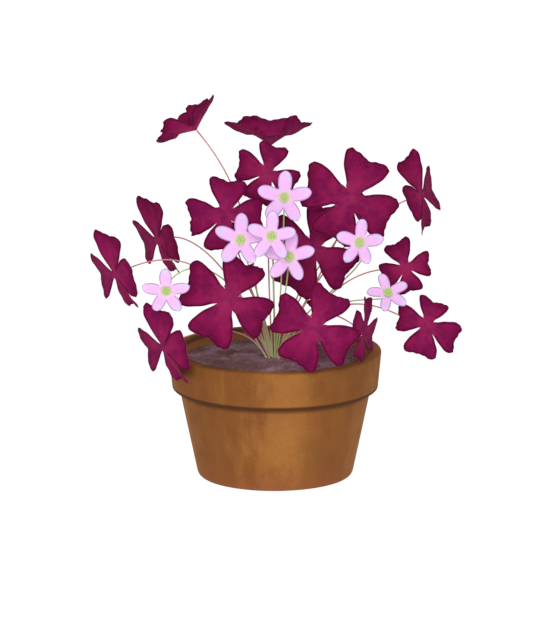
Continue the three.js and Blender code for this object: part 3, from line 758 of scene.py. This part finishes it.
def leaf_blade(leaf, number, material):
    """A leaf blade: its leaflets, joined in a web round the hub."""
    rng = np.random.default_rng(number)
    points, rim, joined = leaflet_surfaces(leaf, rng)
    shape = points.shape[:-1]
    hub = np.array([[0, 0, 0.5], [0, 0, -0.5]]) * BLADE_THICKNESS

    def with_hub(values, at_hub):
        """Values of the leaflets' points, with those of the hub's two points after them."""
        return np.concatenate([np.broadcast_to(values, shape).ravel(), at_hub])

    shell = Shell()
    shell.add(
        placed(np.concatenate([points.reshape(-1, 3), hub]), leaf),
        with_hub(LEAFLET_ROWS[:, None], [0, 0]),
        with_hub((LEAFLET_COLUMNS + 1) / 2, [0.5, 0.5]),
        leaflet_faces(len(points), joined),
        tone=rng.uniform(0, TONE_SPREAD) + max(0.0, (BRIGHT_BELOW - leaf["hub"][2]) / BRIGHT_FALL),
        rim=with_hub(rim, [WEB_RIM, WEB_RIM]),
        under=with_hub(np.array([0.0, 1.0])[:, None, None], [0, 1]),
    )
    return shell.piece(f"leaf_{number:02d}", [material], f"leaf_blade_{number:02d}")


def stalk_path(item, clearance, rise, back):
    """The stalk's centre line: upright in the soil, then a cubic curve that leans outwards and meets
    the back of the hub along the way that the leaf or bloom looks."""
    ring, angle = item["root"]
    radius, lean = RINGS[ring]
    root = turned_about_z(np.array([radius, 0.0, SOIL_CROWN]), angle)
    axis = facing(item)[2]
    end = np.array(item["hub"], float) - axis * clearance
    length = np.linalg.norm(end - root)
    outwards = (end - root) * [1, 1, 0]
    start = outwards / np.linalg.norm(outwards) * lean + [0, 0, 1]
    start /= np.linalg.norm(start)
    one = root + start * length * rise
    two = end - axis * length * back
    t = np.linspace(0, 1, STALK_STATIONS)[:, None]
    curve = (1 - t) ** 3 * root + 3 * (1 - t) ** 2 * t * one + 3 * (1 - t) * t ** 2 * two + t ** 3 * end
    return np.concatenate([[root - [0, 0, ROOT_DEPTH]], curve])


def tube(path, radii, sides):
    """A round section carried along a path, square to it. Its first corner points along the path's
    own plane normal, which the path is never parallel to."""
    tangent = np.gradient(path, axis=0)
    tangent /= np.linalg.norm(tangent, axis=1, keepdims=True)
    normal = np.cross(path[-1] - path[1], path[len(path) // 2] - path[1])
    if np.linalg.norm(normal) < 1e-3:
        normal = np.array([1.0, 0.0, 0.0])
    side = normal - (tangent @ normal)[:, None] * tangent
    side /= np.linalg.norm(side, axis=1, keepdims=True)
    other = np.cross(tangent, side)
    angle = np.linspace(0, 2 * np.pi, sides, endpoint=False)[None, :, None]
    ring = np.cos(angle) * side[:, None, :] + np.sin(angle) * other[:, None, :]
    return path[:, None, :] + ring * np.asarray(radii, float)[:, None, None]


def add_tube(shell, path, radii, sides):
    """Adds a closed tube whose map runs along it and round it."""
    points = tube(path, radii, sides)
    along = np.linspace(0, 1, len(path))[:, None]
    around = np.abs(np.linspace(-1, 1, sides))[None, :]
    shell.add(points, along, around, closed_rings(len(path), sides))


def leaf_stalk(leaf, number, material):
    """A leaf's stalk: thickest at the soil, slimmer upwards, with a small swelling under the hub."""
    shell = Shell()
    rise, back = leaf.get("rise", LEAF_RISE), leaf.get("back", LEAF_BACK)
    path = stalk_path(leaf, HUB_CLEARANCE, rise, back)
    along = np.linspace(0, 1, len(path))
    knuckle = KNUCKLE * np.exp(-((1 - along) / KNUCKLE_LENGTH) ** 2)
    radii = LEAF_STALK_RADIUS * (LEAF_STALK_FOOT - STALK_TAPER * along + knuckle)
    add_tube(shell, path, radii, STALK_SIDES)
    return shell.piece(f"leaf_stem_{number:02d}", [material], f"leaf_stalk_{number:02d}")


def petal(flower, turn, rng):
    """One petal: from the throat out it widens to an oval that is broadest past its middle, and is
    cupped across, rising, with its tip curled back a little and a soft wave along its sides."""
    swell = PETAL_WIDEST * np.linspace(0, 1, PETAL_ROWS // 2)
    close = np.sin(np.linspace(0, np.pi / 2, PETAL_ROWS // 2 + 1)[1:])
    close = PETAL_WIDEST + (1 - PETAL_WIDEST) * close
    along = np.concatenate([swell, close])[:, None]
    top = np.sin(np.linspace(-np.pi / 2, np.pi / 2, PETAL_COLUMNS))
    across = np.concatenate([top, top[::-1]])[None, :]
    face = np.repeat([0.5, -0.5], PETAL_COLUMNS)[None, :]
    size = flower["size"] * rng.uniform(*PETAL_LENGTHS)
    reach = np.where(along > PETAL_WIDEST, 1 - PETAL_WIDEST, PETAL_BASE_REACH)
    oval = np.sqrt(np.clip(1 - (np.abs(along - PETAL_WIDEST) / reach) ** 2.2, 0.002, 1))
    start = PETAL_START * THROAT_RADIUS
    x = start + (size - start) * (along - 0.02 * along * across ** 2)
    half = size * PETAL_HALF_WIDTH * rng.uniform(*PETAL_WIDTHS) * oval
    y = half * across
    phase = rng.uniform(0, 2 * np.pi)
    curl = -PETAL_CURL * np.clip((along - PETAL_CURL_PLACE) / (1 - PETAL_CURL_PLACE), 0, 1) ** 2
    wave = PETAL_WAVE * along * np.abs(across) ** 2 * np.sin(7 * along + 2 * across + phase)
    thin = np.clip(np.minimum(1 - along, 1 - np.abs(across)) / 0.08, 0, 1) ** 0.5
    thick = PETAL_THICKNESS * (0.35 + 0.65 * thin)
    funnel = -THROAT_DEPTH * np.exp(-((x - start) / (THROAT_RADIUS / 2)) ** 2)
    z = PETAL_RISE * x + PETAL_CUP * np.abs(y) + curl + wave + funnel + face * thick + 0.25
    rim = np.minimum(half * (1 - np.abs(across)), size * (1 - along)) + THROAT_RIM * (along < 0.25)
    return turned_about_z(np.stack([x + 0 * z, y + 0 * z, z], -1), turn), along, (across + 1) / 2, rim


def corolla(flower, number, material):
    """Five petals that meet in a short funnel round the green neck."""
    rng = np.random.default_rng(50 + number)
    shell = Shell()
    for turn in flower["turns"]:
        points, along, across, rim = petal(flower, turn, rng)
        faces = sheet_faces(PETAL_ROWS, PETAL_COLUMNS)
        shell.add(placed(points, flower), along, across, faces, rim=rim)
    points = lathe(THROAT_OUTLINE, THROAT_SIDES)
    around = np.linspace(0, 1, THROAT_SIDES)[None, :]
    faces = [ring_quads(len(points), THROAT_SIDES)]
    shell.add(placed(points, flower), 0.1, around, faces, rim=THROAT_RIM)
    return shell.piece(f"petals_{number}", [material], f"flower_petals_{number}")


def eye(flower):
    """The green eye: a low dome with a soft five-pointed outline and a fluted top. Its radius swells
    by the fifth cosine of the turn, and its height falls away with the square of the radius."""
    along = np.linspace(0.04, 1, EYE_ROWS)[:, None]
    angle = np.linspace(0, 2 * np.pi, EYE_SIDES, endpoint=False)[None, :]
    fluting = np.cos(EYE_FLUTES * angle)
    star = np.cos(5 * (angle - np.radians(flower["turns"][0] + 36)))
    radius = EYE_RADIUS * along * (1 + along ** 2 * (EYE_STAR * star + EYE_FLUTING[0] * fluting))
    high = EYE_BACK + EYE_DOME * (1 - along ** 2) + EYE_FLUTING[1] * along * fluting
    low = EYE_BACK - 0.1 + 0.2 * along + 0 * angle
    upper = np.stack([radius * np.cos(angle), radius * np.sin(angle), high], -1)
    lower = np.stack([radius * np.cos(angle), radius * np.sin(angle), low], -1)
    along = np.concatenate([along, along[::-1]])
    return np.concatenate([lower, upper[::-1]]), along, angle / (2 * np.pi)


def sepal(turn):
    """One narrow sepal that hugs the cup and the back of the petals: a pointed strip whose radius
    grows from the cup's as it runs forwards."""
    along = np.linspace(0, 1, SEPAL_ROWS)[:, None]
    top = np.linspace(-1, 1, SEPAL_COLUMNS)
    across = np.concatenate([top, top[::-1]])[None, :]
    face = np.repeat([0.5, -0.5], SEPAL_COLUMNS)[None, :]
    half = SEPAL_HALF_WIDTH * np.sqrt(np.clip(1 - along ** 2.2, 0.003, 1))
    radius = SEPAL_RADIUS + SEPAL_FLARE * along ** 2 + face * SEPAL_THICKNESS
    angle = across * half / CALYX_RADIUS
    z = SEPAL_PLACE[0] + (SEPAL_PLACE[1] - SEPAL_PLACE[0]) * along + 0 * across
    points = np.stack([radius * np.cos(angle), radius * np.sin(angle), z], -1)
    return turned_about_z(points, turn), sheet_faces(SEPAL_ROWS, SEPAL_COLUMNS)


def stamen(turn, reach, height):
    """One stamen on the eye: a thread that leans outwards, and the small bead of its anther."""
    base = np.array([0.5, 0.0, EYE_BACK + 0.8])
    tip = np.array([reach, 0.0, EYE_BACK + height])
    thread = base + (tip - base) * np.linspace(0, 1, 5)[:, None]
    angle = np.linspace(-np.pi / 2 + 0.2, np.pi / 2 - 0.2, 6)
    bead = lathe(ANTHER_RADIUS * np.stack([np.cos(angle), np.sin(angle)], -1), 9) + tip
    return turned_about_z(thread, turn), turned_about_z(bead, turn)


def flower_stem(flower, number, materials):
    """The green parts of a bloom: stalk, cup of five sepals, neck, eye, and pale anthers on it."""
    rng = np.random.default_rng(90 + number)
    shell = Shell()
    rise, back = flower.get("rise", FLOWER_RISE), flower.get("back", FLOWER_BACK)
    path = stalk_path(flower, CALYX_LENGTH, rise, back)
    radii = FLOWER_STALK_RADIUS * (FLOWER_STALK_FOOT - STALK_TAPER * np.linspace(0, 1, len(path)))
    add_tube(shell, path, radii, STALK_SIDES)
    cup = placed(lathe(CUP_OUTLINE, CUP_SIDES), flower)
    shell.add(cup, 1.0, 0.5, closed_rings(len(CUP_OUTLINE), CUP_SIDES))
    for turn in flower["turns"]:
        points, faces = sepal(turn + 36)
        shell.add(placed(points, flower), 1.0, 0.5, faces)
    stem_faces = sum(len(block) for block in shell.faces)
    points, along, around = eye(flower)
    shell.add(placed(points, flower), along, around, closed_rings(*points.shape[:2]))
    eye_faces = sum(len(block) for block in shell.faces)
    for k in range(STAMEN_COUNT):
        turn = 360 / STAMEN_COUNT * k + rng.uniform(-6, 6)
        thread, bead = stamen(turn, STAMEN_REACH[k % 2], STAMEN_HEIGHT[k % 2])
        add_tube(shell, placed(thread, flower), np.full(len(thread), THREAD_RADIUS), 6)
        shell.add(placed(bead, flower), 0.0, 0.0, closed_rings(*bead.shape[:2]))
    thing = shell.piece(f"flower_stem_{number}", materials, f"flower_stalk_{number}")
    kinds = np.zeros(len(thing.data.polygons), int)
    kinds[stem_faces:] = 1
    kinds[eye_faces:] = 2
    thing.data.polygons.foreach_set("material_index", kinds)
    return thing


def pot_outline():
    """The pot's section, from the drain hole's foot round the outside, over the rim and down inside.
    Every corner is rounded by an arc of a quadratic curve."""
    collar_foot = POT_HEIGHT - COLLAR_HEIGHT
    corners = [
        ((DRAIN_RADIUS, 0.0), 0.8),
        ((FOOT_RADIUS, 0.0), FOOT_ROUND),
        ((SHOULDER_RADIUS, collar_foot - SHOULDER_DROP), 1.2),
        ((COLLAR_FOOT_RADIUS - 0.3, collar_foot - SHOULDER_DROP + 0.6), 1.6),
        ((RIM_RADIUS, POT_HEIGHT), RIM_ROUND),
        ((MOUTH_RADIUS, POT_HEIGHT), 1.8),
        ((FLOOR_RADIUS, FLOOR_THICKNESS), 3.0),
        ((DRAIN_RADIUS, FLOOR_THICKNESS), 0.8),
    ]
    places = np.array([corner for corner, _ in corners])
    before = np.roll(places, 1, axis=0)
    after = np.roll(places, -1, axis=0)
    outline = []
    for place, last, following, (_, reach) in zip(places, before, after, corners):
        one = place + (last - place) / np.linalg.norm(last - place) * reach
        two = place + (following - place) / np.linalg.norm(following - place) * reach
        t = np.linspace(0, 1, POT_CORNER_STEPS)[:, None]
        arc = (1 - t) ** 2 * one + 2 * (1 - t) * t * place + t ** 2 * two
        if outline:
            gap = np.linalg.norm(arc[0] - outline[-1][-1])
            t = np.linspace(0, 1, max(2, int(gap / POT_ROW_STEP)), endpoint=False)[1:, None]
            outline.append(outline[-1][-1] * (1 - t) + arc[0] * t)
        outline.append(arc)
    return np.concatenate([*outline, outline[0][:1]])


def pot(material):
    """The pot: its section turned about Z, with a slight wander in the radius from hand and kiln."""
    outline = pot_outline()
    rings = lathe(outline, POT_SIDES)
    angle = np.linspace(0, 2 * np.pi, POT_SIDES, endpoint=False)[None, :]
    height = rings[..., 2]
    wander = POT_WANDER[0] * np.sin(2 * angle + height / 30)
    wander = wander + POT_WANDER[1] * np.sin(3 * angle + 1.3 - height / 45)
    rings[..., :2] *= (1 + wander / np.maximum(outline[:, :1], 20))[..., None]
    shell = Shell()
    along = np.linspace(0, 1, len(outline))[:, None]
    shell.add(rings, along, angle / (2 * np.pi), [ring_quads(len(outline), POT_SIDES)])
    return shell.piece("clay_pot", [material], "pot", sharp=60.0)


def value_noise(x, y, cell, seed):
    """Smooth random heights from 0 to 1: a random value at each corner of a square mesh of side cell,
    blended between the corners by 3t squared less 2t cubed each way."""
    values = np.random.default_rng(seed).random((128, 128))
    i, j = np.floor(x / cell).astype(int), np.floor(y / cell).astype(int)
    s, t = x / cell - i, y / cell - j
    s, t = s * s * (3 - 2 * s), t * t * (3 - 2 * t)
    i, j = i % 127, j % 127
    low = values[i, j] * (1 - s) + values[i + 1, j] * s
    high = values[i, j + 1] * (1 - s) + values[i + 1, j + 1] * s
    return low * (1 - t) + high * t


def soil_height(x, y):
    """Height of the soil: a low crown, with clods and crumbs of three sizes that are calmer near the
    stalks."""
    radius = np.hypot(x, y)
    low, high = CROWN_REACH
    crown = SOIL_CROWN - (SOIL_CROWN - SOIL_LEVEL) * np.clip((radius - low) / (high - low), 0, 1)
    rough = sum(height * (value_noise(x, y, cell, seed) - 0.5) for cell, height, seed in CLODS)
    return crown + rough * np.clip(radius / CALM_REACH, 0.35, 1)


def soil(material):
    """The soil: the floor, the wall inside the pot and rings on top, with loose crumbs."""
    slope = (MOUTH_RADIUS - FLOOR_RADIUS) / (POT_HEIGHT - FLOOR_THICKNESS)
    edge = FLOOR_RADIUS + slope * (SOIL_LEVEL - FLOOR_THICKNESS) - SOIL_GAP
    bottom = FLOOR_THICKNESS + SOIL_GAP
    angle = np.linspace(0, 2 * np.pi, SOIL_SIDES, endpoint=False)[None, :]
    radius = np.linspace(edge, 0.4, SOIL_RINGS)[:, None]
    x, y = radius * np.cos(angle), radius * np.sin(angle)
    top = np.stack([x, y, soil_height(x, y)], -1)
    wall = [(SOIL_CAP, bottom), (FLOOR_RADIUS - SOIL_FOOT_ROUND, bottom),
            (FLOOR_RADIUS - SOIL_GAP, bottom + 1)]
    points = np.concatenate([lathe(wall, SOIL_SIDES), top])
    shell = Shell()
    shell.add(points, 0.5, angle / (2 * np.pi), closed_rings(len(points), SOIL_SIDES))

    # Loose crumbs lie on the surface: squashed lumps of random size and turn.
    rng = np.random.default_rng(7)
    bead = np.linspace(-np.pi / 2 + 0.3, np.pi / 2 - 0.3, 5)
    lump = lathe(np.stack([np.cos(bead), np.sin(bead)], -1), 7)
    smallest, largest = CRUMB_RADIUS
    for _ in range(CRUMB_COUNT):
        distance = edge * CRUMB_EDGE * np.sqrt(rng.uniform(*CRUMB_REACH))
        turn = rng.uniform(0, 2 * np.pi)
        x, y = distance * np.cos(turn), distance * np.sin(turn)
        size = smallest + (largest - smallest) * rng.random() ** 2.5
        uneven = rng.uniform(-CRUMB_ROUGHNESS, CRUMB_ROUGHNESS, lump.shape[:2])
        shape = lump * (1 + uneven)[..., None]
        shape = shape * size * rng.uniform(*CRUMB_SHAPES)
        shape = turned_about_z(shape, rng.uniform(0, 360))
        shape = shape + [x, y, float(soil_height(x, y)) + 0.1 * size]
        shell.add(shape, 0.5, 0.5, closed_rings(*shape.shape[:2]))
    return shell.piece("potting_soil", [material], "soil", sharp=80.0)


def camera():
    """A long lens straight in front, a little above: the photograph is nearly without perspective."""
    height = np.radians(CAMERA_HEIGHT_ANGLE)
    x = (PHOTO_WIDTH / 2 - AXIS_PIXEL) * MM_PER_PIXEL * MM
    z = (FOOT_PIXEL - PHOTO_HEIGHT / 2) * MM_PER_PIXEL * MM / np.cos(height)
    data = bpy.data.cameras.new("camera")
    data.sensor_width = SENSOR
    data.lens = SENSOR * CAMERA_DISTANCE / (PHOTO_HEIGHT * MM_PER_PIXEL * MM)
    data.clip_end = 50
    thing = bpy.data.objects.new("camera", data)
    thing.location = (x, -CAMERA_DISTANCE * np.cos(height), z + CAMERA_DISTANCE * np.sin(height))
    thing.rotation_euler = (np.pi / 2 - height, 0, 0)
    bpy.context.scene.collection.objects.link(thing)
    bpy.context.scene.camera = thing


def soft_light(name, place, size, power):
    """A large square lamp that looks at the plant."""
    data = bpy.data.lights.new(name, "AREA")
    data.size = size
    data.energy = power
    thing = bpy.data.objects.new(name, data)
    thing.location = place
    way = np.array(LAMP_AIM) - np.array(place)
    tilt = np.arctan2(np.hypot(way[0], way[1]), -way[2])
    thing.rotation_euler = (tilt, 0, np.arctan2(-way[0], way[1]))
    bpy.context.scene.collection.objects.link(thing)


def studio():
    """A plain white room: an even pale sky, a white floor, and soft lamps from the front and above."""
    world = bpy.data.worlds.new("studio")
    world.use_nodes = True
    background = world.node_tree.nodes["Background"]
    background.inputs["Color"].default_value = (1, 1, 1, 1)
    background.inputs["Strength"].default_value = SKY_STRENGTH
    bpy.context.scene.world = world
    bpy.context.scene.view_settings.view_transform = "Standard"
    material, _, _ = new_material("white table top", {
        "Base Color": linear("#404040"), "Roughness": 0.9, "Specular IOR Level": 0.0,
        "Emission Color": (1, 1, 1, 1), "Emission Strength": 1.0})
    mesh = bpy.data.meshes.new("floor")
    corners = [(x * FLOOR_REACH, y * FLOOR_REACH, 0) for x, y in ((-1, -1), (1, -1), (1, 1), (-1, 1))]
    mesh.from_pydata(corners, [], [(0, 1, 2, 3)])
    mesh.materials.append(material)
    floor = bpy.data.objects.new("floor", mesh)
    bpy.context.scene.collection.objects.link(floor)
    for lamp in LAMPS:
        soft_light(*lamp)


camera()
studio()
LEAF = leaf_blade_material()
PETAL = petal_material()
# Both kinds of stalk are paler towards the soil, as real stalks are, and paler still there as painted
# light against the shade in the crowded crown.
LEAF_STALK = stalk_material(
    "living pink leaf stalk",
    [(0.0, "#E6E4B0"), (0.16, "#E8CDAC"), (0.4, "#E09A92"), (1.0, "#CC6C7A")],
    "#E2B6AE",
)
# Painted light: this stalk's pale foot also offsets the shade in the crown.
FLOWER_STALK = stalk_material(
    "living green flower stalk",
    [(0.0, "#DCE5A6"), (0.2, "#C2D58A"), (0.8, "#AFCB7A"), (1.0, "#97BC5A")],
    "#D6E6B0",
)
GREENS = [FLOWER_STALK, eye_material(), anther_material()]
pot(terracotta_material())
soil(soil_material())
for number, leaf in enumerate(LEAVES, 1):
    leaf_blade(leaf, number, LEAF)
    leaf_stalk(leaf, number, LEAF_STALK)
for number, flower in enumerate(FLOWERS, 1):
    corolla(flower, number, PETAL)
    flower_stem(flower, number, GREENS)
